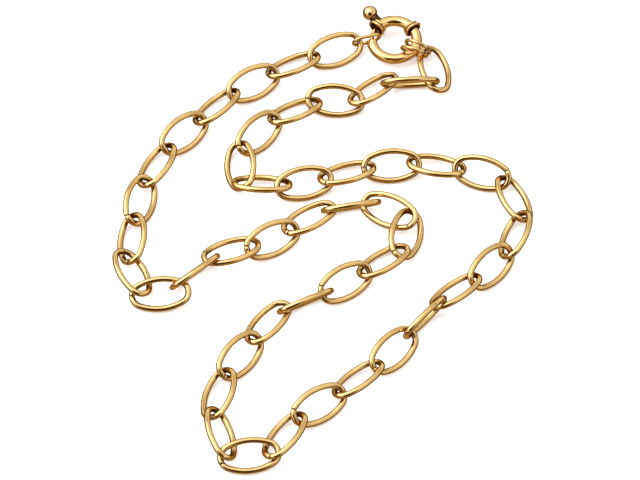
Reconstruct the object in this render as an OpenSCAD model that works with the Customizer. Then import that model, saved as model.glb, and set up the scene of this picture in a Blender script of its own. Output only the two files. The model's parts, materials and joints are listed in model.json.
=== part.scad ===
/* [Chain links] */
// Outside length of a chain link
link_length = 13; // [12.6:0.1:13.4]
// Outside width of a chain link
link_width = 7.5; // [7:0.1:7.8]
// Diameter of the round wire that the links are bent from
link_wire = 1.3; // [0.9:0.05:1.35]
// Radius of a link's rounded ends, at the middle of the wire
link_end_radius = 2.35; // [1.8:0.05:2.6]

/* [Small link at the open side of the clasp] */
// Outside length of the small link
small_length = 6.8; // [6.4:0.1:7.2]
// Outside width of the small link
small_width = 4.2; // [3.8:0.1:4.8]
// Diameter of the small link's wire
small_wire = 0.8; // [0.6:0.05:0.9]

/* [Bail rings between the clasp and the last link] */
// Outside diameter of a bail ring
bail_diameter = 6.4; // [6:0.1:6.8]
// Diameter of a bail ring's wire
bail_wire = 0.8; // [0.6:0.05:0.9]

/* [Clasp] */
// Diameter of the clasp's ring, at the middle of its tube
clasp_diameter = 9.8; // [9.4:0.1:10]
// Outside diameter of the hollow tube that the bolt slides in
housing_diameter = 2.4; // [2:0.05:2.6]
// Diameter of the solid bar that closes the ring
bar_diameter = 2.25; // [1.8:0.05:2.4]
// Outside diameter of the rim of the collar at each end of the tube
collar_diameter = 4.1; // [3.6:0.1:4.4]
// Thickness of a collar's rim
collar_rim = 0.6; // [0.5:0.05:0.7]
// Outside diameter of the bead behind a collar's rim
bead_diameter = 3.5; // [3.1:0.1:3.7]
// Thickness of a collar's bead
bead_thickness = 0.6; // [0.4:0.05:0.7]
// Diameter of the sliding bolt
bolt_diameter = 1; // [0.8:0.05:1.1]
// Room all round the bolt in its bore and beside the stem in its slot
running_gap = 0.1; // [0.05:0.01:0.15]
// Diameter of the stem that carries the ball
stem_diameter = 0.9; // [0.7:0.05:1]
// Diameter of the neck under the ball, which straddles the tube
neck_diameter = 2.1; // [1.6:0.1:2.2]
// Diameter of the ball that the finger pulls
ball_diameter = 3.3; // [2.6:0.1:3.6]
// Distance from the middle of the clasp's ring to the middle of the ball
ball_reach = 8.7; // [8.4:0.1:9.5]
// How far the bolt turns back when the ball is pulled, in degrees
bolt_travel = 40; // [20:1:40]

/* [Hidden] */
$fn = 64;
gold = [0.85, 0.66, 0.36];
pale_gold = [0.93, 0.78, 0.47];

// Straight pieces in each end arc and each side arc of a chain link, and sides of its wire
end_steps = 5;
side_steps = 3;
wire_sides = 6;

// The necklace lies flat on Z = 0. X runs to the right and Y away from the
// viewer. The origin is under the middle of the necklace's box.
middle = [0.85, 1.18];

// How each link lies, from the one beside the clasp's open side round to the one that
// the bail rings hold. Heading is the way the link's length points, in degrees from X.
// Lean turns the link about its length, so a link with a lean stands on one long side.
// Pitch raises its front end. Lift is the room between the floor and its lowest point.
// The next link's middle is one hop away, in the hop's direction.
HEADING = 0;
LEAN = 1;
PITCH = 2;
LIFT = 3;
HOP_DIRECTION = 4;
HOP = 5;
lay = [
//   heading  lean  pitch  lift  hop direction  hop
    [204,     -35,  0,     0.0,  203,           9.9],
    [208,      25,  0,     0.3,  211,          10.0],
    [212,     -35,  0,     0.0,  219,          10.0],
    [228,      29,  0,     0.2,  227,          10.0],
    [225,     -37,  0,     0.0,  236,           9.9],
    [245,      27,  0,     0.1,  251,           9.9],
    [256,     -35,  0,     0.0,  262,           9.9],
    [270,      34,  0,     0.0,  272,           8.9],
    [294,     -26,  0,     0.8,  320,           7.7],
    [  5,      24,  3,     0.2,   34,           8.5],
    [ 41,     -60,  0,     0.0,   37,           9.3],
    [ 20,     -14,  0,     1.4,   20,           9.0],
    [ 30,      40,  0,     0.0,   35,           9.4],
    [ 32,     -16,  3,     1.2,   17,           9.2],
    [ 11,     -58,  0,     0.0,  355,           8.0],
    [334,      26,  0,     0.6,  302,           6.5],
    [258,     -20,  0,     0.2,  236,           8.5],
    [217,      25,  0,     0.2,  215,           9.7],
    [214,     -36,  0,     0.0,  213,           9.8],
    [208,      62,  3,     0.0,  212,           9.0],
    [234,      21,  0,     0.9,  235,           9.8],
    [232,     -37,  0,     0.0,  245,           9.9],
    [256,      26,  0,     0.2,  273,           9.8],
    [284,     -42,  0,     0.0,  321,           7.5],
    [  8,      21,  0,     0.2,   33,           8.4],
    [ 58,     -27,  0,     0.2,   46,           9.8],
    [ 34,      35,  0,     0.0,   38,          10.1],
    [ 42,     -29,  0,     0.4,   43,           9.9],
    [ 47,      35,  0,     0.3,   49,           9.9],
    [ 48,     -77,  0,     0.0,   47,           9.5],
    [ 40,     -30,  0,     0.9,   41,           9.9],
    [ 48,      40,  0,     0.0,   57,           9.7],
    [ 72,     -38,  0,     0.0,   90,           9.6],
    [110,      27,  0,     0.0,  136,           9.1],
    [162,     -39,  0,     0.0,  167,           9.8],
    [169,      18,  0,     0.7,  181,           9.5],
    [185,     -35,  0,     0.0,  190,           9.6],
    [198,      21,  0,     0.4,  197,           9.4],
    [194,     -30,  0,     0.0,  184,           8.9],
    [177,      29,  0,     0.7,  131,           7.1],
    [ 96,     -26,  0,     0.0,   65,           9.1],
    [ 49,      39,  0,     0.0,   40,          10.0],
    [ 30,     -24, -3,     0.0,   17,           9.0],
    [357,      30, -2,     0.0,   20,           8.7],
    [ 40,     -25,  0,     0.4,    7,           8.0],
    [  5,     -64, -3,     0.0,   42,           7.2],
    [100,      20,  0,     0.2,    0,           0.0],
];
first_link = [3.3, 48.7];

// The small link's middle, heading and lean
small_place = [10.1, 51.6, 2.5];
small_heading = 18;
small_lean = -75;

// Each bail ring's middle, the heading of its level diameter, and how steep it stands
upper_bail_place = [21.2, 49.1, 3.1];
upper_bail_heading = -27;
upper_bail_tilt = 107;
lower_bail_place = [20.4, 47.9, 3];
lower_bail_heading = -20;
lower_bail_tilt = 115;

// The clasp's ring leans a little towards the viewer. Angles round it run
// anticlockwise from X, seen from above.
clasp_place = [16.14, 51.48, 2.6];
clasp_tilt = 6;
clasp_radius = clasp_diameter / 2;
collar_near_bar = 34;
collar_at_mouth = 141;
bar_end = 184;
cup_end = 189;
bolt_start = 100;
bolt_end = 187;
stem_angle = 127;
bore_diameter = bolt_diameter + 2 * running_gap;
slot_width = stem_diameter + 2 * running_gap;
// Half the angle that the stem takes up, and the end gap beyond it
stem_half_angle = atan(stem_diameter / 2 / clasp_radius);
end_gap_angle = atan(running_gap / clasp_radius);
// Angle that half a collar takes up along the ring
collar_half_angle = atan(collar_rim / 2 / clasp_radius);
mouth = collar_at_mouth + collar_half_angle;
slot_start = stem_angle - bolt_travel - stem_half_angle - end_gap_angle;
slot_end = stem_angle + stem_half_angle + end_gap_angle;
bore_start = bolt_start - bolt_travel - end_gap_angle;
// Distance between the middles of a collar's rim and its bead
bead_distance = 0.85;

// Middle of a link in the chart, found by walking the hops that lead to it
function link_spot(i) = i == 0 ? first_link :
    link_spot(i - 1) + lay[i - 1][HOP] * [cos(lay[i - 1][HOP_DIRECTION]), sin(lay[i - 1][HOP_DIRECTION])];

// Radius of an oval's long sides, so that they run smoothly into its ends
function side_radius(half_length, half_width, end_radius) =
    ((half_length - end_radius) ^ 2 + half_width ^ 2 - end_radius ^ 2) / (2 * (half_width - end_radius));

// How far an oval reaches from its middle, along a direction whose parts along
// its length and its width are along and across
function oval_reach(along, across, half_length, half_width, end_radius) =
    let (side = side_radius(half_length, half_width, end_radius))
    let (drop = side - half_width)
    let (shift = half_length - end_radius)
    across * shift < along * drop
        ? end_radius * norm([along, across]) + shift * along
        : side * norm([along, across]) - drop * across;

// Height of a link's middle above the floor when it rests at this lean and pitch
function resting_height(lean, pitch) = link_wire / 2 + oval_reach(
    abs(sin(pitch)), abs(cos(pitch) * sin(lean)),
    (link_length - link_wire) / 2, (link_width - link_wire) / 2, link_end_radius);

// An arc of round wire in the XY plane, from one angle to another
module wire_arc(radius, wire, from, to) {
    rotate(from)
        rotate_extrude(angle = to - from)
            translate([radius, 0])
                circle(d = wire);
}

// A ring of round wire that stands round the Z axis
module hoop(outside, wire) {
    rotate_extrude()
        translate([(outside - wire) / 2, 0])
            circle(d = wire);
}

// The stations round an oval: each is a point and the angle that its wire faces outwards
function oval_stations(half_length, half_width, end_radius) =
    let (side = side_radius(half_length, half_width, end_radius))
    let (shift = half_length - end_radius)
    let (drop = side - half_width)
    let (joint = atan2(drop, shift))
    let (half = [
        for (k = [0:end_steps - 1])
            let (angle = -joint + 2 * joint * k / end_steps)
            [shift + end_radius * cos(angle), end_radius * sin(angle), angle],
        for (k = [0:side_steps - 1])
            let (angle = joint + (180 - 2 * joint) * k / side_steps)
            [side * cos(angle), side * sin(angle) - drop, angle]
    ])
    concat(half, [for (s = half) [-s.x, -s.y, s.z + 180]]);

// A closed oval of wire whose section is a hexagon with a flat side facing inwards
module wire_oval(length, width, wire, end_radius) {
    stations = oval_stations((length - wire) / 2, (width - wire) / 2, end_radius);
    corners = [for (k = [0:wire_sides - 1]) 360 * (k + 0.5) / wire_sides];
    points = [
        for (s = stations)
            for (corner = corners)
                let (out = wire / 2 * cos(corner))
                [s.x + out * cos(s.z), s.y + out * sin(s.z), wire / 2 * sin(corner)]
    ];
    faces = [
        for (i = [0:len(stations) - 1])
            for (k = [0:wire_sides - 1])
                let (row = i * wire_sides)
                let (next_row = (i + 1) % len(stations) * wire_sides)
                let (next_k = (k + 1) % wire_sides)
                [row + k, row + next_k, next_row + next_k, next_row + k]
    ];
    polyhedron(points, faces);
}

// A closed link of round wire with straight sides and half-round ends
module wire_stadium(length, width, wire) {
    straight = length - width;
    radius = (width - wire) / 2;
    for (turn = [0, 180])
        rotate(turn) {
            translate([straight / 2, 0, 0])
                wire_arc(radius, wire, -90, 90);
            translate([0, radius, 0])
                rotate([0, 90, 0])
                    cylinder(h = straight, d = wire, center = true);
        }
}

module chain() {
    color(gold)
        for (i = [0:len(lay) - 1])
            translate(concat(link_spot(i) - middle, resting_height(lay[i][LEAN], lay[i][PITCH]) + lay[i][LIFT]))
                rotate([lay[i][LEAN], -lay[i][PITCH], lay[i][HEADING]])
                    wire_oval(link_length, link_width, link_wire, link_end_radius);
}

// Moves a piece from the chart's frame to the necklace's own
module in_place(place) {
    translate(place - [middle.x, middle.y, 0])
        children();
}

module small_link() {
    color(gold)
        in_place(small_place)
            rotate([small_lean, 0, small_heading])
                wire_stadium(small_length, small_width, small_wire);
}

module bail_ring(place, heading, tilt) {
    color(gold)
        in_place(place)
            rotate([tilt, 0, heading])
                hoop(bail_diameter, bail_wire);
}

module bail_ring_upper() {
    bail_ring(upper_bail_place, upper_bail_heading, upper_bail_tilt);
}

module bail_ring_lower() {
    bail_ring(lower_bail_place, lower_bail_heading, lower_bail_tilt);
}

// Puts a piece on the clasp's ring
module on_clasp() {
    in_place(clasp_place)
        rotate([clasp_tilt, 0, 0])
            children();
}

// Sets a piece on the ring at an angle, with its Z axis along the ring towards larger angles
module along_ring(angle) {
    rotate(angle)
        translate([clasp_radius, 0, 0])
            rotate([-90, 0, 0])
                children();
}

// A collar of a bead, a groove and a round rim, whose rim faces away from the tube
module collar() {
    translate([0, 0, -collar_rim / 2])
        cylinder(h = collar_rim, d = collar_diameter - collar_rim);
    hoop(collar_diameter, collar_rim);
    translate([0, 0, -bead_distance]) {
        cylinder(h = bead_distance, d = bead_diameter - bead_thickness);
        hoop(bead_diameter, bead_thickness);
    }
}

// The fixed ring: solid bar, hollow tube with two collars, bore, slot and the bolt's cup
module clasp_ring() {
    color(pale_gold)
        on_clasp()
            difference() {
                union() {
                    wire_arc(clasp_radius, bar_diameter, bar_end - 360, collar_near_bar);
                    wire_arc(clasp_radius, housing_diameter, collar_near_bar, collar_at_mouth);
                    along_ring(collar_at_mouth)
                        collar();
                    along_ring(collar_near_bar)
                        mirror([0, 0, 1])
                            collar();
                }
                wire_arc(clasp_radius, bore_diameter, bore_start, mouth + collar_half_angle);
                wire_arc(clasp_radius, bore_diameter, bar_end - collar_half_angle, cup_end);
                stem_slot();
            }
}

// The slot in the tube's outer wall that the stem travels along
module stem_slot() {
    rotate(slot_start)
        rotate_extrude(angle = slot_end - slot_start)
            translate([clasp_radius, -slot_width / 2])
                square([housing_diameter, slot_width]);
}

// The moving piece: curved bolt, stem, neck and ball
module clasp_trigger() {
    color(pale_gold)
        on_clasp() {
            wire_arc(clasp_radius, bolt_diameter, bolt_start, bolt_end);
            towards_ball()
                cylinder(h = ball_reach - clasp_radius, d = stem_diameter);
            neck();
            rotate(stem_angle)
                translate([ball_reach, 0, 0])
                    sphere(d = ball_diameter);
        }
}

// Starts at the middle of the tube, with the Z axis towards the ball
module towards_ball() {
    rotate([0, 90, stem_angle])
        translate([0, 0, clasp_radius])
            children();
}

// The wide neck under the ball, hollowed where it passes over the tube and beside the bead
module neck() {
    difference() {
        towards_ball()
            cylinder(h = ball_reach - clasp_radius, d = neck_diameter);
        wire_arc(clasp_radius, housing_diameter + 2 * running_gap, 90, 180);
        along_ring(collar_at_mouth)
            translate([0, 0, -bead_distance - bead_thickness / 2 - running_gap])
                cylinder(h = bead_distance, d = bead_diameter + 2 * running_gap);
    }
}

chain();
small_link();
bail_ring_upper();
bail_ring_lower();
clasp_ring();
clasp_trigger();
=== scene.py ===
"""Polished gold cable chain necklace: wire links, bail rings and a bolt ring clasp on a pale floor."""

import json
import math
import random

import bmesh
import bpy
import numpy as np
from bpy.props import FloatProperty, FloatVectorProperty, IntProperty, PointerProperty
from mathutils import Matrix, Vector


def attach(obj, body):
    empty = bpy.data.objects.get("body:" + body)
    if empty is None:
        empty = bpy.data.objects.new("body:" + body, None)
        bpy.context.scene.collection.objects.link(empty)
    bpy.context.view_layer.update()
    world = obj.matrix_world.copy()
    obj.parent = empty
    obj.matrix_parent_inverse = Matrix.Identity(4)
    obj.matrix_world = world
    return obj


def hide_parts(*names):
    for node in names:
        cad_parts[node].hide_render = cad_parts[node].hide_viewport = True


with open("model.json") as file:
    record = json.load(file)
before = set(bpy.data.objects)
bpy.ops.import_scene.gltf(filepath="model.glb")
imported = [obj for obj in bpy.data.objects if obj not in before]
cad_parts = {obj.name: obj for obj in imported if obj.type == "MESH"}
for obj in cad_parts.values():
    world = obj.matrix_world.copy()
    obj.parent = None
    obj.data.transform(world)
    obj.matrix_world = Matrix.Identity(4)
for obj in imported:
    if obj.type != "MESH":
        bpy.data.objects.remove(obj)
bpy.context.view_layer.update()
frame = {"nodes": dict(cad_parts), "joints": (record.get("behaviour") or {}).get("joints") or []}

bl_info = {
    "name": "Cable chain necklace",
    "version": (1, 0, 0),
    "blender": (4, 5, 0),
    "location": "3D View > Sidebar > Necklace",
    "description": "Builds a polished gold cable chain with a bolt ring clasp, in a small studio",
    "category": "Add Mesh",
}

MM = 0.001
FULL_TURN = 2 * math.pi
# The body that everything but the bolt and its ball moves with, and the body of those two
CHAIN_BODY = "necklace"
TRIGGER_BODY = "trigger"
HINGE = frame["joints"][0]
LINK_COUNT = 47
# The photograph's width and the distance in pixels at which its camera's picture stands
PHOTO_WIDTH = 640
FOCAL_PIXELS = 3391
SENSOR_WIDTH = 36
# Radius at which a turned form closes on its axis, and the angle from which an edge stays sharp
PINHOLE = 0.01 * MM
SHARP = math.radians(40)
# A loop whose length is less than this many times its width is a round one
ROUND = 1.05

# Seed of the chances, such as the places of the joints, so that each run has the same ones
SEED = 47
# Half the width of the groove where a wire's two ends meet, and how deep it is
GROOVE = 0.14 * MM
GROOVE_DEPTH = 0.16 * MM
# Share of the links whose joint is at their other end, and the joint's angle on the small link
OTHER_END = 0.2
SMALL_JOINT = math.radians(25)
# How dark the painted shade on the inside of a link's ends is, where the next link lies against them,
# from 0 to 1. The painted shade starts so many end radii from the tip, and grows to its full depth over
# this share of the way from the link's middle
END_SHADE = 0.75
END_SHADE_START = 1.3
END_SHADE_GROWTH = 0.3
# The pattern of the polish differs from link to link by up to this length, in millimetres
PATTERN_SHIFT = 500

# Scales of the patterns in the gold: its uneven tone, the ripples in its polish, and the fine
# marks round and along the chain's wire and on the clasp
TONE_SCALE = 420
RIPPLE_SCALE = 900
CHAIN_MARKS = (5, 5, 0.35)
CLASP_MARKS = (2.5, 2.5, 2.5)
# Values of the tone's and the marks' patterns between which their effect grows
TONE_EDGE = (0.35, 0.7)
MARK_EDGE = (0.3, 0.7)
# Greatest share of the deep gold, greatest change of the roughness as a share of it, the heights
# of the ripples and the marks, and how strongly both of them show
DEEP_SHARE = 0.45
POLISH_RANGE = 0.3
RIPPLE_HEIGHT = 0.05 * MM
MARK_HEIGHT = 0.01 * MM
RELIEF = 0.35

# Each light's name, direction, distance, width and height, power and colour
LIGHTS = (
    ("Key", (-0.55, 0.45, 1), 0.9, (0.7, 0.7), 5.5, (1, 0.99, 0.96)),
    ("Left strip", (-1, -0.1, 0.45), 0.8, (0.25, 0.7), 1.2, (1, 0.98, 0.94)),
    ("Right fill", (1, 0.3, 0.7), 1, (0.4, 0.4), 1, (1, 1, 1)),
)
# Direction, brightness and edge of the soft box that shines in the gold, and of the dark part of
# the room in front of the necklace. An edge runs from one cosine to another
SOFT_BOX = (-0.6, 0.08, 0.78)
BRIGHT = (2.3, 2.3, 2.6)
BRIGHT_EDGE = (0.76, 0.92)
FRONT = (0, -0.85, 0.53)
DARK = (0.06, 0.03, 0.01)
DARK_EDGE = (0.82, 0.9)
# Colour of the surroundings' light from straight below, at 0, to straight above, at 1
GLOW = (
    (0, 0.6, 0.44, 0.24),
    (0.3, 0.32, 0.21, 0.1),
    (0.44, 0.1, 0.05, 0.02),
    (0.51, 0.1, 0.06, 0.03),
    (0.59, 0.95, 0.93, 0.88),
    (0.72, 1.05, 1.03, 0.98),
    (0.84, 0.55, 0.5, 0.42),
    (0.93, 1.15, 1.14, 1.1),
    (1, 1.3, 1.29, 1.26),
)

# Angles round the clasp's ring, anticlockwise from the right seen from above
COLLAR_NEAR_BAR = 34
COLLAR_AT_MOUTH = 141
BAR_END = 184
CUP_END = 189
BORE_START = 59
SLOT_START = 81
SLOT_END = 133
BOLT_START = 100
BOLT_END = 187
STEM_ANGLE = 127
# How far from the middle of a collar's rim the bar, the tube and the bore have their nearest
# stations, in degrees
BAR_CLEAR = 10
TUBE_CLEAR = (24, 22)
BORE_CLEAR = 20
# Degrees between two stations of the bar, the tube and the bore
STEP = 3
# Inside of the collar at the mouth, and of the one that the bar comes out of: distances
# from the middle of the rim, and radii, in millimetres
MOUTH_FACE = ((0.26, 1.6), (0.16, 1.45), (-0.2, 1.2), (-0.8, 1.0), (-0.9, 0.6))
BAR_FACE = ((0.26, 1.62), (0.12, 1.5), (-0.1, 1.28), (-0.16, 1.125))
# How far a collar's straight part reaches from the middle of its rim, on the side of the
# tube and on the other side
COLLAR_BACK = 1.35 * MM
COLLAR_FRONT = 0.35 * MM
# Radii of the roundings of a collar's rim and bead, the bead's distance from the rim and from
# the ring's line, and how deep the groove between them is
RIM = 0.3 * MM
BEAD = 0.3 * MM
BEAD_BEHIND = 0.85 * MM
BEAD_HEIGHT = 1.45 * MM
COLLAR_GROOVE = 0.17 * MM
# Along a collar, from the middle of its rim: where it leaves the tube, and the groove's deepest
# place. Then how far the groove rises to the rim, and where the rim's rounding begins under it
COLLAR_FOOT = -1.3 * MM
GROOVE_PLACE = -0.44 * MM
GROOVE_RISE = 0.02 * MM
RIM_DROP = 0.1 * MM
# Gap between the trigger and what it slides along
CLEAR = 0.1 * MM
# Angles between which the ball's neck makes room for the tube, the radius of its room for the
# collar's bead, and where along the collar that room is
NECK_ROOM = (95, 165)
BEAD_ROOM = 1.85 * MM
BEAD_REACH = (-1.25 * MM, -0.4 * MM)
# How far out from the ring's line the neck starts, and the size of its edge at the ball
NECK_FOOT = 0.4 * MM
NECK_EDGE = 0.12 * MM
# The neck gets painted shade but for a strip along it: where across the neck, in its radii, the painted
# shade starts, and over what width it grows. Then the same along the neck, from its join with the ball
NECK_SHADE = (-0.85, 0.25)
NECK_SHADE_END = (-0.08 * MM, 0.1 * MM)
# How dark the painted shade is on the edge of the bar's end, in the collars' grooves and on the stem,
# from 0 to 1
EDGE_SHADE = 0.3
GROOVE_SHADE = 0.85
STEM_SHADE = 0.7


# Sizes and colours that a user would change

class ChainSizes(bpy.types.PropertyGroup):
    """Wire links of the chain"""

    length: FloatProperty(
        name="Link length", description="Outside length of a link",
        default=13 * MM, unit="LENGTH", precision=5)
    width: FloatProperty(
        name="Link width", description="Outside width of a link",
        default=7.5 * MM, unit="LENGTH", precision=5)
    wire: FloatProperty(
        name="Link wire", description="Diameter of the round wire of a link",
        default=1.3 * MM, unit="LENGTH", precision=5)
    end_radius: FloatProperty(
        name="End radius", description="Radius of a link's rounded ends at the middle of the wire",
        default=2.35 * MM, unit="LENGTH", precision=5)
    sides: IntProperty(
        name="Wire sides", description="Flat faces round the wire",
        default=18, min=10, max=32)
    spread: FloatProperty(
        name="Joint spread", description="How far from a link's tip its wire's ends may meet",
        default=math.radians(50), unit="ROTATION", subtype="ANGLE")


class FittingSizes(bpy.types.PropertyGroup):
    """Small link and bail rings beside the clasp"""

    small_length: FloatProperty(
        name="Small link length", description="Outside length of the small link",
        default=6.8 * MM, unit="LENGTH", precision=5)
    small_width: FloatProperty(
        name="Small link width", description="Outside width of the small link",
        default=4.2 * MM, unit="LENGTH", precision=5)
    bail_diameter: FloatProperty(
        name="Bail ring diameter", description="Outside diameter of a bail ring",
        default=6.4 * MM, unit="LENGTH", precision=5)
    wire: FloatProperty(
        name="Fine wire", description="Diameter of the wire of the small link and the bail rings",
        default=0.8 * MM, unit="LENGTH", precision=5)
    sides: IntProperty(
        name="Wire sides", description="Flat faces round the wire",
        default=20, min=10, max=32)


class ClaspSizes(bpy.types.PropertyGroup):
    """Bolt ring clasp"""

    centre: FloatVectorProperty(
        name="Centre", description="Middle of the clasp's ring",
        default=HINGE["pos_m"], unit="LENGTH", subtype="TRANSLATION", precision=5)
    ring_radius: FloatProperty(
        name="Ring radius", description="Radius of the ring at the middle of its tube",
        default=4.9 * MM, unit="LENGTH", precision=5)
    tube: FloatProperty(
        name="Tube diameter", description="Outside diameter of the hollow tube",
        default=2.4 * MM, unit="LENGTH", precision=5)
    bar: FloatProperty(
        name="Bar diameter", description="Diameter of the solid bar that closes the ring",
        default=2.25 * MM, unit="LENGTH", precision=5)
    collar: FloatProperty(
        name="Collar diameter", description="Diameter of the collars at the tube's ends",
        default=4.1 * MM, unit="LENGTH", precision=5)
    bore: FloatProperty(
        name="Bore diameter", description="Diameter of the bore that the bolt slides in",
        default=1.2 * MM, unit="LENGTH", precision=5)
    bolt: FloatProperty(
        name="Bolt diameter", description="Diameter of the sliding bolt",
        default=1 * MM, unit="LENGTH", precision=5)
    stem: FloatProperty(
        name="Stem diameter", description="Diameter of the stem that carries the ball",
        default=0.9 * MM, unit="LENGTH", precision=5)
    neck: FloatProperty(
        name="Neck diameter", description="Diameter of the neck that joins the ball to its stem",
        default=2.1 * MM, unit="LENGTH", precision=5)
    ball: FloatProperty(
        name="Ball diameter", description="Diameter of the ball that the finger pulls",
        default=3.3 * MM, unit="LENGTH", precision=5)
    ball_reach: FloatProperty(
        name="Ball reach", description="Distance from the ring's middle to the ball's middle",
        default=8.7 * MM, unit="LENGTH", precision=5)
    sides: IntProperty(
        name="Sides", description="Faces round the tube and the bar",
        default=48, min=16, max=96)


class GoldLook(bpy.types.PropertyGroup):
    """Polished gold of the chain and the clasp"""

    chain: FloatVectorProperty(
        name="Chain gold", description="Colour of the chain's polished gold",
        default=(0.89, 0.625, 0.262), subtype="COLOR", min=0, max=1)
    clasp: FloatVectorProperty(
        name="Clasp gold", description="Colour of the clasp's polished gold",
        default=(1, 0.705, 0.315), subtype="COLOR", min=0, max=1)
    deep: FloatVectorProperty(
        name="Deep gold", description="Redder gold where the polish is thin",
        default=(0.68, 0.4, 0.14), subtype="COLOR", min=0, max=1)
    rim: FloatVectorProperty(
        name="Rim tint", description="Tint of the gold where it turns away from the eye",
        default=(0.45, 0.33, 0.2), subtype="COLOR", min=0, max=1)
    # Brown of the wire's joints, also used as painted shade in the hollows, at the link ends, in the
    # collars' grooves, on the stem and on the neck
    joint_and_shade_brown: FloatVectorProperty(
        name="Joint and shade brown", description="Brown in the joints of the wire and under the collars",
        default=(0.09, 0.04, 0.012), subtype="COLOR", min=0, max=1)
    chain_roughness: FloatProperty(
        name="Chain roughness", description="Roughness of the chain's gold",
        default=0.075, min=0, max=1, subtype="FACTOR")
    clasp_roughness: FloatProperty(
        name="Clasp roughness", description="Roughness of the clasp's gold",
        default=0.08, min=0, max=1, subtype="FACTOR")


class StageLook(bpy.types.PropertyGroup):
    """Floor, lights and camera"""

    floor: FloatVectorProperty(
        name="Floor", description="Colour of the floor",
        default=(0.93, 0.93, 0.93), subtype="COLOR", min=0, max=1)
    sky: FloatProperty(
        name="Sky strength", description="Brightness of the soft light from all round",
        default=1, min=0)
    glow: FloatProperty(
        name="Floor glow", description="Light that the floor gives off, as a light table does",
        default=0.4, min=0)
    elevation: FloatProperty(
        name="Camera height", description="Angle of the camera above the floor",
        default=math.radians(54.6), unit="ROTATION", subtype="ANGLE")
    distance: FloatProperty(
        name="Camera distance", description="From the camera to the point that it aims at",
        default=708.8 * MM, unit="LENGTH")
    aim: FloatVectorProperty(
        name="Camera aim", description="Point on the floor that the camera aims at",
        default=(-0.85 * MM, -1.18 * MM, 0), unit="LENGTH", subtype="TRANSLATION", precision=5)


# Meshes

def set_marks(mesh, marks):
    """Gives a mesh's points the marks that its material reads."""
    for mark, values in marks.items():
        kind, field = ("FLOAT_VECTOR", "vector") if np.ndim(values) == 2 else ("FLOAT", "value")
        layer = mesh.attributes.new(mark, kind, "POINT")
        layer.data.foreach_set(field, np.asarray(values, np.float32).ravel())


def add_piece(name, points, faces, material, marks):
    """A smooth mesh object whose points carry the marks that its material reads."""
    mesh = bpy.data.meshes.new(name)
    mesh.from_pydata([tuple(p) for p in points], [], faces)
    set_marks(mesh, marks)
    mesh.shade_smooth()
    mesh.materials.append(material)
    piece = bpy.data.objects.new(name, mesh)
    bpy.context.scene.collection.objects.link(piece)
    return piece


def finish_piece(piece, body, slot, *nodes):
    """Seats a piece on its body, in place of the nodes that it stands for."""
    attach(piece, body)
    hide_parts(*nodes)


def bridge(rows, sides, closed):
    """Quads between neighbouring rows of points, and from the last row to the first if closed."""
    count = rows if closed else rows - 1
    return [
        (a * sides + k, b * sides + k, b * sides + j, a * sides + j)
        for a, b in ((i, (i + 1) % rows) for i in range(count))
        for k, j in ((k, (k + 1) % sides) for k in range(sides))
    ]


def arc(centre, radius, angles):
    """Stations along an arc of wire: x, y and the angle that faces outwards."""
    return [(centre[0] + radius * math.cos(a), centre[1] + radius * math.sin(a), a) for a in angles]


def from_joint(start, end, radius, steps):
    """Angles of an arc that starts at the joint of its wire, with the joint's narrow groove."""
    near = [start + mark / radius for mark in (0, GROOVE / 2, GROOVE)]
    return near + list(np.linspace(near[-1], end, steps + 1)[1:-1])


def to_joint(start, end, radius, steps):
    """Angles of an arc that ends at the joint of its wire."""
    return [start] + [start + end - a for a in from_joint(start, end, radius, steps)][:0:-1]


def oval_stations(length, width, wire, end_radius, joint):
    """Stations round an oval of four smooth arcs, from the joint of its wire round to it again."""
    half_length, half_width = (length - wire) / 2, (width - wire) / 2
    shift = half_length - end_radius
    side = (shift ** 2 + half_width ** 2 - end_radius ** 2) / (2 * (half_width - end_radius))
    drop = side - half_width
    turn = math.atan2(drop, shift)
    end_steps, side_steps = 20, 16
    return (
        arc((shift, 0), end_radius, from_joint(joint, turn, end_radius, end_steps // 2))
        + arc((0, -drop), side, np.linspace(turn, math.pi - turn, side_steps, endpoint=False))
        + arc((-shift, 0), end_radius,
              np.linspace(math.pi - turn, math.pi + turn, end_steps, endpoint=False))
        + arc((0, drop), side,
              np.linspace(math.pi + turn, FULL_TURN - turn, side_steps, endpoint=False))
        + arc((shift, 0), end_radius,
              to_joint(FULL_TURN - turn, FULL_TURN + joint, end_radius, end_steps // 2))
    )


def stadium_stations(length, width, wire, joint):
    """Stations round a link with straight sides and half-round ends."""
    shift, radius = (length - width) / 2, (width - wire) / 2
    quarter = math.pi / 2
    end_steps = 20
    return (
        arc((shift, 0), radius, from_joint(joint, quarter, radius, end_steps // 2))
        + arc((-shift, 0), radius, np.linspace(quarter, 3 * quarter, end_steps + 1))
        + arc((shift, 0), radius, to_joint(3 * quarter, FULL_TURN + joint, radius, end_steps // 2))
    )


def ring_stations(diameter, wire):
    """Stations round a bail ring."""
    radius = (diameter - wire) / 2
    steps = 56
    return arc((0, 0), radius, from_joint(0, FULL_TURN, radius, steps))


def grown(value, start, width):
    """How far a value has grown past a start, as a share of a width, from 0 to 1."""
    return np.clip((value - start) / width, 0, 1)


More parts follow.
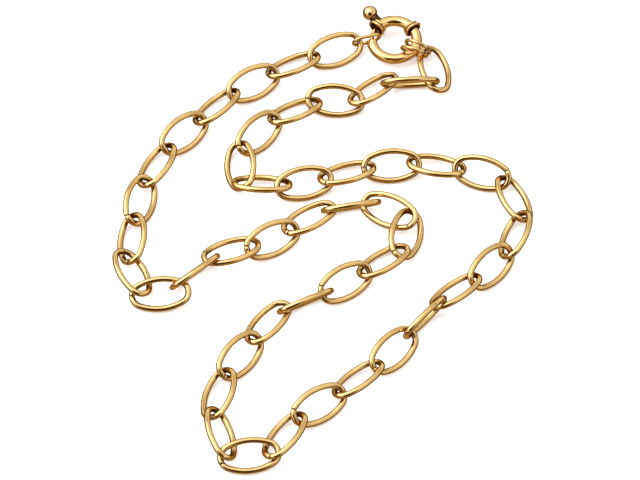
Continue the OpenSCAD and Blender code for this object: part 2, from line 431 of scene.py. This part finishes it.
def closed_wire(stations, wire, sides, place, shaded_from=None):
    """Points of a closed loop of round wire, and what its material needs to know at each. Its ends,
    from a distance along X, get painted shade on the inside, where the next link lies against them."""
    line = np.array(stations)
    hops = np.linalg.norm(np.diff(line[:, :2], axis=0), axis=1)
    along = np.concatenate([[0], np.cumsum(hops)])
    whole = along[-1] + np.linalg.norm(line[-1, :2] - line[0, :2])
    to_groove = np.clip(1 - np.minimum(along, whole - along) / GROOVE, 0, 1)
    radii = wire / 2 - GROOVE_DEPTH * to_groove
    around = np.linspace(0, FULL_TURN, sides, endpoint=False)
    out = radii[:, None] * np.cos(around)
    points = np.stack([
        line[:, :1] + out * np.cos(line[:, 2:]),
        line[:, 1:2] + out * np.sin(line[:, 2:]),
        radii[:, None] * np.sin(around)], axis=-1).reshape(-1, 3)
    turned = np.array(place.to_3x3()) @ points.T
    points = turned.T + np.array(place.translation)
    seam_and_shade = np.repeat(to_groove ** 0.5, sides)
    # Painted shade on the inside of the link's ends, where the next link lies against them
    if shaded_from:
        at_end = grown(np.abs(line[:, 0]) / shaded_from, 1, END_SHADE_GROWTH)
        end_shade = at_end[:, None] * np.clip(-np.cos(around), 0, 1) * END_SHADE
        seam_and_shade = np.maximum(seam_and_shade, end_shade.ravel())
    marks = {
        "wire_place": np.stack([
            np.tile(np.cos(around), len(line)),
            np.tile(np.sin(around), len(line)),
            np.repeat(along / MM, sides)], axis=-1),
        "seam_and_shade": seam_and_shade,
    }
    return points, bridge(len(line), sides, True), marks


def loose_solids(node):
    """Corner points of each loose solid of a CAD node, from the left to the right. The points are
    sorted too, so that each run works with them in the same order."""
    copy = bmesh.new()
    copy.from_mesh(node.data)
    bmesh.ops.remove_doubles(copy, verts=copy.verts, dist=0.01 * MM)
    left = set(copy.verts)
    solids = []
    while left:
        waiting = [left.pop()]
        found = []
        while waiting:
            corner = waiting.pop()
            found.append(corner.co.copy())
            for edge in corner.link_edges:
                other = edge.other_vert(corner)
                if other in left:
                    left.remove(other)
                    waiting.append(other)
        solids.append(np.array(sorted(map(tuple, found))))
    copy.free()
    return sorted(solids, key=lambda points: tuple(points.mean(0).round(5)))


def lay_of(points):
    """Where a flat loop lies: its middle, its length along X and its flat side along Z. A round
    loop has no length, so its X lies as near to the world's as it can."""
    middle = points.mean(0)
    spread, axes = np.linalg.svd(points - middle)[1:]
    length, flat = Vector(axes[0]), Vector(axes[2])
    if flat.z < 0:
        flat.negate()
    if spread[0] < spread[1] * ROUND:
        length = (Vector((1, 0, 0)) - flat * flat.x).normalized()
    if length.x < 0:
        length.negate()
    width = flat.cross(length)
    place = Matrix((length, width, flat)).transposed().to_4x4()
    place.translation = middle
    return place


def revolve(outline, sides):
    """Points and faces of an outline of (distance, radius) pairs turned round the Z axis."""
    around = np.linspace(0, FULL_TURN, sides, endpoint=False)
    points = [
        (radius * math.cos(a), radius * math.sin(a), distance)
        for distance, radius in outline for a in around
    ]
    faces = [face[::-1] for face in bridge(len(outline), sides, False)]
    faces += [tuple(range(sides))[::-1], tuple(len(points) - sides + k for k in range(sides))]
    return points, faces


def bend_round(points, radius):
    """Bends what stands along Z so that it runs round a ring in the XY plane. The sections of a
    collar stay parallel."""
    near_bar = math.radians(360 + COLLAR_NEAR_BAR)
    at_mouth = math.radians(360 + COLLAR_AT_MOUTH)
    bent = []
    for x, y, z in points:
        turn = facing = z / radius
        if -COLLAR_FRONT < z - near_bar * radius < COLLAR_BACK:
            facing = near_bar
        if -COLLAR_BACK < z - at_mouth * radius < COLLAR_FRONT:
            facing = at_mouth
        bent.append((
            radius * math.cos(turn) + x * math.cos(facing),
            radius * math.sin(turn) + x * math.sin(facing), -y))
    return bent


def half_round(distance, height, radius, start, end, steps=9):
    """Part of a small circle in an outline, between two angles in degrees."""
    return [
        (distance + radius * math.cos(math.radians(a)), height + radius * math.sin(math.radians(a)))
        for a in np.linspace(start, end, steps)
    ]


def run_marks(points, seam_and_shade):
    """What the gold material needs to know on a turned or bent piece."""
    place = np.array(points) / MM
    return {"wire_place": place, "seam_and_shade": seam_and_shade}


# Materials

def value_map(tree, value, low, high, to_low, to_high):
    """A value moved from one range to another."""
    node = tree.nodes.new("ShaderNodeMapRange")
    for name, number in zip(("From Min", "From Max", "To Min", "To Max"), (low, high, to_low, to_high)):
        node.inputs[name].default_value = number
    tree.links.new(value, node.inputs["Value"])
    return node.outputs["Result"]


def mixed_colour(tree, factor, first, second):
    """A colour between two colours or colour outputs."""
    node = tree.nodes.new("ShaderNodeMix")
    node.data_type = "RGBA"
    tree.links.new(factor, node.inputs["Factor"])
    for name, colour in (("A", first), ("B", second)):
        socket = next(s for s in node.inputs if s.name == name and s.type == "RGBA")
        if isinstance(colour, bpy.types.NodeSocket):
            tree.links.new(colour, socket)
        else:
            socket.default_value = (*colour, 1)
    return next(s for s in node.outputs if s.type == "RGBA")


def noise(tree, vector, scale, detail):
    """A noise value over a vector."""
    node = tree.nodes.new("ShaderNodeTexNoise")
    node.inputs["Scale"].default_value = scale
    node.inputs["Detail"].default_value = detail
    tree.links.new(vector, node.inputs["Vector"])
    return node.outputs["Fac"]


def stretched(tree, vector, scale):
    """A vector with its parts scaled."""
    node = tree.nodes.new("ShaderNodeMapping")
    node.inputs["Scale"].default_value = scale
    tree.links.new(vector, node.inputs["Vector"])
    return node.outputs["Vector"]


def mark_output(tree, name, output):
    """One of the marks that a mesh's points carry."""
    node = tree.nodes.new("ShaderNodeAttribute")
    node.attribute_name = name
    return node.outputs[output]


def bump(tree, height, distance, strength, normal=None):
    """A bumped normal, over another one if given."""
    node = tree.nodes.new("ShaderNodeBump")
    node.inputs["Distance"].default_value = distance
    node.inputs["Strength"].default_value = strength
    tree.links.new(height, node.inputs["Height"])
    if normal:
        tree.links.new(normal, node.inputs["Normal"])
    return node.outputs["Normal"]


def polished_gold(name, colour, roughness, look, mark_stretch):
    """Polished gold: uneven tone, faint marks of the polishing, brown at the joints of the wire, and
    painted shade in the hollows, at the link ends, in the collars' grooves, on the stem and on the
    ball's neck.
    """
    material = bpy.data.materials.new(name)
    material.use_nodes = True
    tree = material.node_tree
    shader = tree.nodes["Principled BSDF"]
    shader.inputs["Metallic"].default_value = 1
    shader.inputs["Specular Tint"].default_value = (*look.rim, 1)
    place = mark_output(tree, "wire_place", "Vector")
    seam_and_shade = mark_output(tree, "seam_and_shade", "Fac")
    room = tree.nodes.new("ShaderNodeTexCoord").outputs["Object"]
    cloud = noise(tree, room, TONE_SCALE, 3)
    marks = noise(tree, stretched(tree, place, mark_stretch), 1, 4)
    ripple = noise(tree, room, RIPPLE_SCALE, 1)
    redder = value_map(tree, cloud, *TONE_EDGE, 0, DEEP_SHARE)
    toned = mixed_colour(tree, redder, colour, look.deep)
    # Towards the brown at the wire's joints, and as painted shade in the hollows, at the link ends, in
    # the collars' grooves, on the stem and on the neck
    shaded = mixed_colour(tree, seam_and_shade, toned, look.joint_and_shade_brown)
    tree.links.new(shaded, shader.inputs["Base Color"])
    smooth, rough = roughness * (1 - POLISH_RANGE), roughness * (1 + POLISH_RANGE)
    polish = value_map(tree, marks, *MARK_EDGE, smooth, rough)
    tree.links.new(polish, shader.inputs["Roughness"])
    waves = bump(tree, ripple, RIPPLE_HEIGHT, RELIEF)
    relief = bump(tree, marks, MARK_HEIGHT, RELIEF, waves)
    tree.links.new(relief, shader.inputs["Normal"])
    return material


def gold(name):
    """The chain's or the clasp's gold, made the first time that it's asked for."""
    found = bpy.data.materials.get(name)
    if found:
        return found
    look = bpy.context.scene.necklace_gold
    if name == "Chain gold":
        return polished_gold(name, look.chain, look.chain_roughness, look, CHAIN_MARKS)
    return polished_gold(name, look.clasp, look.clasp_roughness, look, CLASP_MARKS)


# Operators

class NECKLACE_OT_chain_links(bpy.types.Operator):
    """Build the chain's 47 round wire links where the frame's links lie"""

    bl_idname = "necklace.chain_links"
    bl_label = "Chain links"

    def execute(self, context):
        sizes = context.scene.necklace_chain
        solids = loose_solids(frame["nodes"]["chain"])
        if len(solids) != LINK_COUNT:
            raise RuntimeError(f"the frame's chain has {len(solids)} links and not {LINK_COUNT}")
        chance = random.Random(SEED)
        # The painted shade on the inside of the links' ends starts this far from the middle
        shaded_from = sizes.length / 2 - sizes.end_radius * END_SHADE_START
        points, faces, places, seam_and_shade_parts = [], [], [], []
        for solid in solids:
            joint = math.pi + chance.uniform(-1, 1) * sizes.spread
            if chance.random() < OTHER_END:
                joint -= math.pi
            place = lay_of(solid) @ Matrix.Rotation(math.pi if joint > math.pi / 2 else 0, 4, "Z")
            joint = (joint + math.pi / 2) % math.pi - math.pi / 2
            stations = oval_stations(sizes.length, sizes.width, sizes.wire, sizes.end_radius, joint)
            link_points, link_faces, marks = closed_wire(
                stations, sizes.wire, sizes.sides, place, shaded_from)
            faces += [tuple(len(points) + k for k in face) for face in link_faces]
            points += list(link_points)
            places.append(marks["wire_place"] + (0, 0, chance.uniform(0, PATTERN_SHIFT)))
            seam_and_shade_parts.append(marks["seam_and_shade"])
        marks = {"wire_place": np.concatenate(places), "seam_and_shade": np.concatenate(seam_and_shade_parts)}
        piece = add_piece("wire_links", points, faces, gold("Chain gold"), marks)
        finish_piece(piece, CHAIN_BODY, "chain_gold", "chain")
        return {"FINISHED"}


class NECKLACE_OT_fittings(bpy.types.Operator):
    """Build the small link and the two bail rings where the frame's ones lie"""

    bl_idname = "necklace.fittings"
    bl_label = "Small link and bail rings"

    def execute(self, context):
        sizes = context.scene.necklace_fittings
        small = stadium_stations(sizes.small_length, sizes.small_width, sizes.wire, SMALL_JOINT)
        bail = ring_stations(sizes.bail_diameter, sizes.wire)
        for node, stations in (
                ("small_link", small), ("bail_ring_upper", bail), ("bail_ring_lower", bail)):
            place = lay_of(np.concatenate(loose_solids(frame["nodes"][node])))
            points, faces, marks = closed_wire(stations, sizes.wire, sizes.sides, place)
            piece = add_piece("wire_" + node, points, faces, gold("Chain gold"), marks)
            finish_piece(piece, CHAIN_BODY, "chain_gold", node)
        return {"FINISHED"}


def clasp_place(sizes):
    """The clasp's ring lies square to the hinge's axis."""
    up = -Vector(HINGE["axis"]).normalized()
    place = Vector((0, 0, 1)).rotation_difference(up).to_matrix().to_4x4()
    place.translation = sizes.centre
    return place


def collar_outline(sizes, face):
    """Outline of a collar from its tube to its face: a bead, a groove, a round rim and a hollow.
    Distances count from the middle of the rim towards the face, and each point has how dark its painted
    shade is: most in the groove and full in the hollow."""
    height, deepest = sizes.collar / 2 - RIM, BEAD_HEIGHT - COLLAR_GROOVE
    bead = half_round(-BEAD_BEHIND, BEAD_HEIGHT, BEAD, 225, -30, 13)
    groove = [bead.pop(), (GROOVE_PLACE, deepest), (-RIM, deepest + GROOVE_RISE)]
    rim = [(-RIM, height - RIM_DROP)] + half_round(0, height, RIM, 180, 0, 13)
    return (
        [(COLLAR_FOOT, sizes.tube / 2, 0)]
        + [(d, r, 0) for d, r in bead]
        + [(d, r, GROOVE_SHADE) for d, r in groove]
        + [(d, r, 0) for d, r in rim]
        + [(d * MM, r * MM, 1) for d, r in face]
    )


class NECKLACE_OT_clasp_ring(bpy.types.Operator):
    """Build the clasp's fixed ring: the bar, the tube with its collars, bore and slot"""

    bl_idname = "necklace.clasp_ring"
    bl_label = "Clasp ring"

    def execute(self, context):
        sizes = context.scene.necklace_clasp
        radius, tube, bar, bore = sizes.ring_radius, sizes.tube / 2, sizes.bar / 2, sizes.bore / 2

        def at(angle):
            return math.radians(angle) * radius

        edge = 0.15 * MM
        first, second = 360 + COLLAR_NEAR_BAR, 360 + COLLAR_AT_MOUTH
        end, bore_start = at(BAR_END) + edge, at(360 + BORE_START)
        # The hollow end of the bar gets full painted shade and the lip at its end some; the collars'
        # grooves and hollows get painted shade too
        outline = [(at(CUP_END), PINHOLE, 1), (at(CUP_END), bore, 1), (end, bore, 1)]
        outline += [(at(BAR_END), bore + edge, EDGE_SHADE)]
        outline += [(d, r, 0) for d, r in half_round(end, bar - edge, edge, 180, 90, 5)]
        outline += [(at(a), bar, 0) for a in range(BAR_END + STEP, first - BAR_CLEAR, STEP)]
        outline += [(at(first) - d, r, g) for d, r, g in reversed(collar_outline(sizes, BAR_FACE))]
        stations = range(first + TUBE_CLEAR[0], second - TUBE_CLEAR[1], STEP)
        outline += [(at(a), tube, 0) for a in stations]
        outline += [(at(second) + d, r, g) for d, r, g in collar_outline(sizes, MOUTH_FACE)]
        # Full painted shade all along the bore
        outline += [(at(a), bore, 1) for a in range(second - BORE_CLEAR, 360 + BORE_START, -STEP)]
        outline += [(bore_start, bore, 1), (bore_start, PINHOLE, 1)]
        points, faces = revolve([(d, r) for d, r, _ in outline], sizes.sides)
        bent = bend_round(points, radius)
        marks = run_marks(bent, np.repeat([g for _, _, g in outline], sizes.sides))
        piece = add_piece("clasp_tube_and_bar", bent, faces, gold("Clasp gold"), marks)
        cut_away(piece, *slot_form(sizes))
        piece.data.set_sharp_from_angle(angle=SHARP)
        piece.data.transform(clasp_place(sizes))
        finish_piece(piece, CHAIN_BODY, "clasp_gold", "clasp_ring")
        return {"FINISHED"}


def slot_form(sizes):
    """Points and faces of the round-ended slot that the stem travels along."""
    half = sizes.stem / 2 + CLEAR
    radius = sizes.ring_radius
    outer = radius + sizes.tube
    start, end = math.radians(SLOT_START), math.radians(SLOT_END)
    turn = half / radius
    first_angle, round_steps, straight_steps = 0.25, 7, 16
    lead = [turn * (1 - math.cos(a)) for a in np.linspace(first_angle, math.pi / 2, round_steps)]
    angles = [start + a for a in lead]
    angles += list(np.linspace(start + turn, end - turn, straight_steps)[1:-1])
    angles += [end - a for a in reversed(lead)]
    points = []
    for angle in angles:
        inset = max(0, turn - min(angle - start, end - angle)) / turn
        height = half * math.sqrt(1 - inset ** 2)
        for reach, level in ((radius, -height), (outer, -height), (outer, height), (radius, height)):
            points.append((reach * math.cos(angle), reach * math.sin(angle), level))
    faces = bridge(len(angles), 4, False) + [(0, 1, 2, 3)]
    faces.append(tuple(len(points) - 1 - k for k in range(4)))
    return points, faces


def cut_away(piece, points, faces):
    """Cuts a closed form out of a piece."""
    mesh = bpy.data.meshes.new("cutter")
    mesh.from_pydata([tuple(p) for p in points], [], faces)
    cutter = bpy.data.objects.new("cutter", mesh)
    bpy.context.scene.collection.objects.link(cutter)
    cut = piece.modifiers.new("Cut", "BOOLEAN")
    cut.operation = "DIFFERENCE"
    cut.solver = "EXACT"
    cut.object = cutter
    graph = bpy.context.evaluated_depsgraph_get()
    whole = piece.data
    piece.data = bpy.data.meshes.new_from_object(piece.evaluated_get(graph))
    piece.modifiers.clear()
    bpy.data.objects.remove(cutter)
    bpy.data.meshes.remove(whole)
    bpy.data.meshes.remove(mesh)


def rod(start, end, radius, sides=48):
    """Points and faces of a straight rod along the Z axis."""
    return revolve([(start, PINHOLE), (start, radius), (end, radius), (end, PINHOLE)], sides)


def aimed(points, place):
    """Points moved by a matrix."""
    return [tuple(place @ Vector(p)) for p in points]


class NECKLACE_OT_trigger(bpy.types.Operator):
    """Build the clasp's moving piece: the curved bolt, and the ball on its stem"""

    bl_idname = "necklace.trigger"
    bl_label = "Bolt and ball"

    def execute(self, context):
        sizes = context.scene.necklace_clasp
        place = clasp_place(sizes)
        radius, bolt, stem, ball = sizes.ring_radius, sizes.bolt / 2, sizes.stem / 2, sizes.ball / 2
        start, end = math.radians(BOLT_START) * radius, math.radians(BOLT_END) * radius
        edge, steps, sides = 0.2 * MM, 30, 32
        outline = [(start, PINHOLE), (start, bolt - edge / 2), (start + edge / 2, bolt)]
        outline += [(d, bolt) for d in np.linspace(start + edge, end - edge * 1.5, steps)]
        outline += half_round(end - edge, bolt - edge, edge, 90, 0, 6)
        outline += [(end, PINHOLE)]
        points, faces = revolve(outline, sides)
        points = bend_round(points, radius)
        seam_and_shade = [0] * len(points)
        aim = Matrix.Rotation(math.radians(STEM_ANGLE), 4, "Z") @ Matrix.Rotation(math.pi / 2, 4, "Y")
        stem_points, stem_faces = rod(radius, sizes.ball_reach - ball, stem)
        faces += [tuple(len(points) + k for k in face) for face in stem_faces]
        points += aimed(stem_points, aim)
        # Painted shade on the stem, which lies under the ball
        seam_and_shade += [STEM_SHADE] * len(stem_points)
        piece = add_piece(
            "trigger_bolt", points, faces, gold("Clasp gold"), run_marks(points, seam_and_shade))
        piece.data.set_sharp_from_angle(angle=SHARP)
        piece.data.transform(place)
        finish_piece(piece, TRIGGER_BODY, "clasp_gold", "clasp_trigger")
        self.ball_on_neck(sizes, place, aim)
        return {"FINISHED"}

    def ball_on_neck(self, sizes, place, aim):
        """The ball and its wide neck, hollowed to clear the tube and the collar's bead."""
        radius, neck, ball = sizes.ring_radius, sizes.neck / 2, sizes.ball / 2
        meeting = math.asin(neck / ball)
        foot, join = radius + NECK_FOOT, sizes.ball_reach - ball * math.cos(meeting)
        neck_steps, ball_steps, last_angle = 12, 40, math.pi - 0.01
        outline = [(foot, PINHOLE)]
        outline += [(d, neck) for d in np.linspace(foot, join - NECK_EDGE, neck_steps)]
        outline += [(join - NECK_EDGE / 3, neck - NECK_EDGE / 2)]
        outline += [
            (sizes.ball_reach - ball * math.cos(a), ball * math.sin(a))
            for a in np.linspace(meeting, last_angle, ball_steps)]
        points, faces = revolve(outline, 64)
        piece = add_piece("trigger_ball", points, faces, gold("Clasp gold"), {})
        piece.data.transform(aim)
        cut_away(piece, *tube_room(sizes))
        cut_away(piece, *bead_room(sizes))
        straight = aim.inverted()
        places = np.array([straight @ point.co for point in piece.data.vertices])
        # Painted shade over the neck but for a strip along it, and none on the ball
        across = grown(places[:, 1] / neck, *NECK_SHADE)
        along = grown(join - places[:, 2], *NECK_SHADE_END)
        set_marks(piece.data, run_marks(places, across * along))
        piece.data.set_sharp_from_angle(angle=SHARP)
        piece.data.transform(place)
        finish_piece(piece, TRIGGER_BODY, "clasp_gold", "clasp_trigger")


def tube_room(sizes):
    """Points and faces of the room that the ball's neck leaves for the tube."""
    radius = sizes.ring_radius
    start, end = (math.radians(a) * radius for a in NECK_ROOM)
    outline = [(start, PINHOLE)]
    outline += [(d, sizes.tube / 2 + CLEAR) for d in np.linspace(start, end, 24)]
    outline += [(end, PINHOLE)]
    points, faces = revolve(outline, 48)
    return bend_round(points, radius), faces


def bead_room(sizes):
    """Points and faces of the room that the ball's neck leaves for the collar's bead."""
    at_rim = (
        Matrix.Rotation(math.radians(COLLAR_AT_MOUTH), 4, "Z")
        @ Matrix.Translation((sizes.ring_radius, 0, 0)) @ Matrix.Rotation(-math.pi / 2, 4, "X"))
    points, faces = rod(*BEAD_REACH, BEAD_ROOM)
    return aimed(points, at_rim), faces


# Floor, lights and camera

def area_light(name, direction, distance, size, power, colour):
    """A soft light that faces the necklace from a direction, and doesn't shine in the gold."""
    light = bpy.data.lights.new(name, "AREA")
    light.shape = "RECTANGLE"
    light.size, light.size_y = size
    light.energy = power
    light.color = colour
    lamp = bpy.data.objects.new(name, light)
    bpy.context.scene.collection.objects.link(lamp)
    aim = Vector(direction).normalized()
    lamp.location = aim * distance
    lamp.rotation_euler = aim.to_track_quat("Z", "Y").to_euler()
    lamp.visible_glossy = False


def facing(tree, way, direction, edge):
    """How nearly a way points in a direction, from 0 to 1 between an edge's two cosines."""
    node = tree.nodes.new("ShaderNodeVectorMath")
    node.operation = "DOT_PRODUCT"
    node.inputs[1].default_value = Vector(direction).normalized()
    tree.links.new(way, node.inputs[0])
    return value_map(tree, node.outputs["Value"], *edge, 0, 1)


def sky(look):
    """Soft light from all round: bright above, brightest at the soft box, dark in front of the
    necklace and at the horizon, and a warm glow below."""
    world = bpy.data.worlds.new("Studio")
    world.use_nodes = True
    bpy.context.scene.world = world
    tree = world.node_tree
    background = tree.nodes["Background"]
    way = tree.nodes.new("ShaderNodeTexCoord").outputs["Generated"]
    parts = tree.nodes.new("ShaderNodeSeparateXYZ")
    tree.links.new(way, parts.inputs["Vector"])
    height = value_map(tree, parts.outputs["Z"], -1, 1, 0, 1)
    ramp = tree.nodes.new("ShaderNodeValToRGB")
    tree.links.new(height, ramp.inputs["Fac"])
    stops = ramp.color_ramp.elements
    for stop, (_, *colour) in zip(stops, (GLOW[0], GLOW[-1])):
        stop.color = (*colour, 1)
    for level, *colour in GLOW[1:-1]:
        stops.new(level).color = (*colour, 1)
    shine = facing(tree, way, SOFT_BOX, BRIGHT_EDGE)
    bright = mixed_colour(tree, shine, ramp.outputs["Color"], BRIGHT)
    front = facing(tree, way, FRONT, DARK_EDGE)
    shaded = mixed_colour(tree, front, bright, DARK)
    tree.links.new(shaded, background.inputs["Color"])
    background.inputs["Strength"].default_value = look.sky


class NECKLACE_OT_stage(bpy.types.Operator):
    """Lay the pale floor and set up the soft lights and the camera"""

    bl_idname = "necklace.stage"
    bl_label = "Floor, lights and camera"

    def execute(self, context):
        look = context.scene.necklace_stage
        reach = 5
        corners = [(-reach, -reach, 0), (reach, -reach, 0), (reach, reach, 0), (-reach, reach, 0)]
        mesh = bpy.data.meshes.new("floor")
        mesh.from_pydata(corners, [], [(0, 1, 2, 3)])
        floor = bpy.data.objects.new("floor", mesh)
        context.scene.collection.objects.link(floor)
        material = bpy.data.materials.new("Pale floor")
        material.use_nodes = True
        shader = material.node_tree.nodes["Principled BSDF"]
        shader.inputs["Base Color"].default_value = (*look.floor, 1)
        shader.inputs["Roughness"].default_value = 0.9
        shader.inputs["Specular IOR Level"].default_value = 0
        shader.inputs["Emission Color"].default_value = (1, 0.99, 0.98, 1)
        shader.inputs["Emission Strength"].default_value = look.glow
        mesh.materials.append(material)
        floor.visible_glossy = False
        sky(look)
        for light in LIGHTS:
            area_light(*light)
        camera = bpy.data.cameras.new("Camera")
        camera.sensor_width = SENSOR_WIDTH
        camera.lens = FOCAL_PIXELS / PHOTO_WIDTH * SENSOR_WIDTH
        camera.clip_start, camera.clip_end = 0.01, 100
        eye = bpy.data.objects.new("Camera", camera)
        context.scene.collection.objects.link(eye)
        back = Vector((0, -math.cos(look.elevation), math.sin(look.elevation)))
        eye.location = Vector(look.aim) + back * look.distance
        eye.rotation_euler = back.to_track_quat("Z", "Y").to_euler()
        context.scene.camera = eye
        context.scene.view_settings.view_transform = "Standard"
        return {"FINISHED"}


# Panel and registration

class NECKLACE_PT_sidebar(bpy.types.Panel):
    """Sizes and colours, and the operators that build the pieces"""

    bl_label = "Cable chain necklace"
    bl_space_type = "VIEW_3D"
    bl_region_type = "UI"
    bl_category = "Necklace"

    def draw(self, context):
        for group in GROUPS:
            settings = getattr(context.scene, group)
            column = self.layout.column(align=True)
            column.label(text=type(settings).__doc__)
            for field in settings.bl_rna.properties:
                if field.identifier not in ("rna_type", "name"):
                    column.prop(settings, field.identifier)
        for operator in OPERATORS:
            self.layout.operator(operator.bl_idname)


GROUPS = {
    "necklace_chain": ChainSizes,
    "necklace_fittings": FittingSizes,
    "necklace_clasp": ClaspSizes,
    "necklace_gold": GoldLook,
    "necklace_stage": StageLook,
}
OPERATORS = (
    NECKLACE_OT_chain_links,
    NECKLACE_OT_fittings,
    NECKLACE_OT_clasp_ring,
    NECKLACE_OT_trigger,
    NECKLACE_OT_stage,
)


def register():
    for kind in (*GROUPS.values(), *OPERATORS, NECKLACE_PT_sidebar):
        bpy.utils.register_class(kind)
    for name, kind in GROUPS.items():
        setattr(bpy.types.Scene, name, PointerProperty(type=kind))


def unregister():
    for name in GROUPS:
        delattr(bpy.types.Scene, name)
    for kind in (NECKLACE_PT_sidebar, *reversed(OPERATORS), *GROUPS.values()):
        bpy.utils.unregister_class(kind)


def main():
    """Builds every piece and the stage."""
    register()
    for operator in OPERATORS:
        getattr(bpy.ops.necklace, operator.bl_idname.split(".")[1])()


if __name__ == "__main__":
    main()
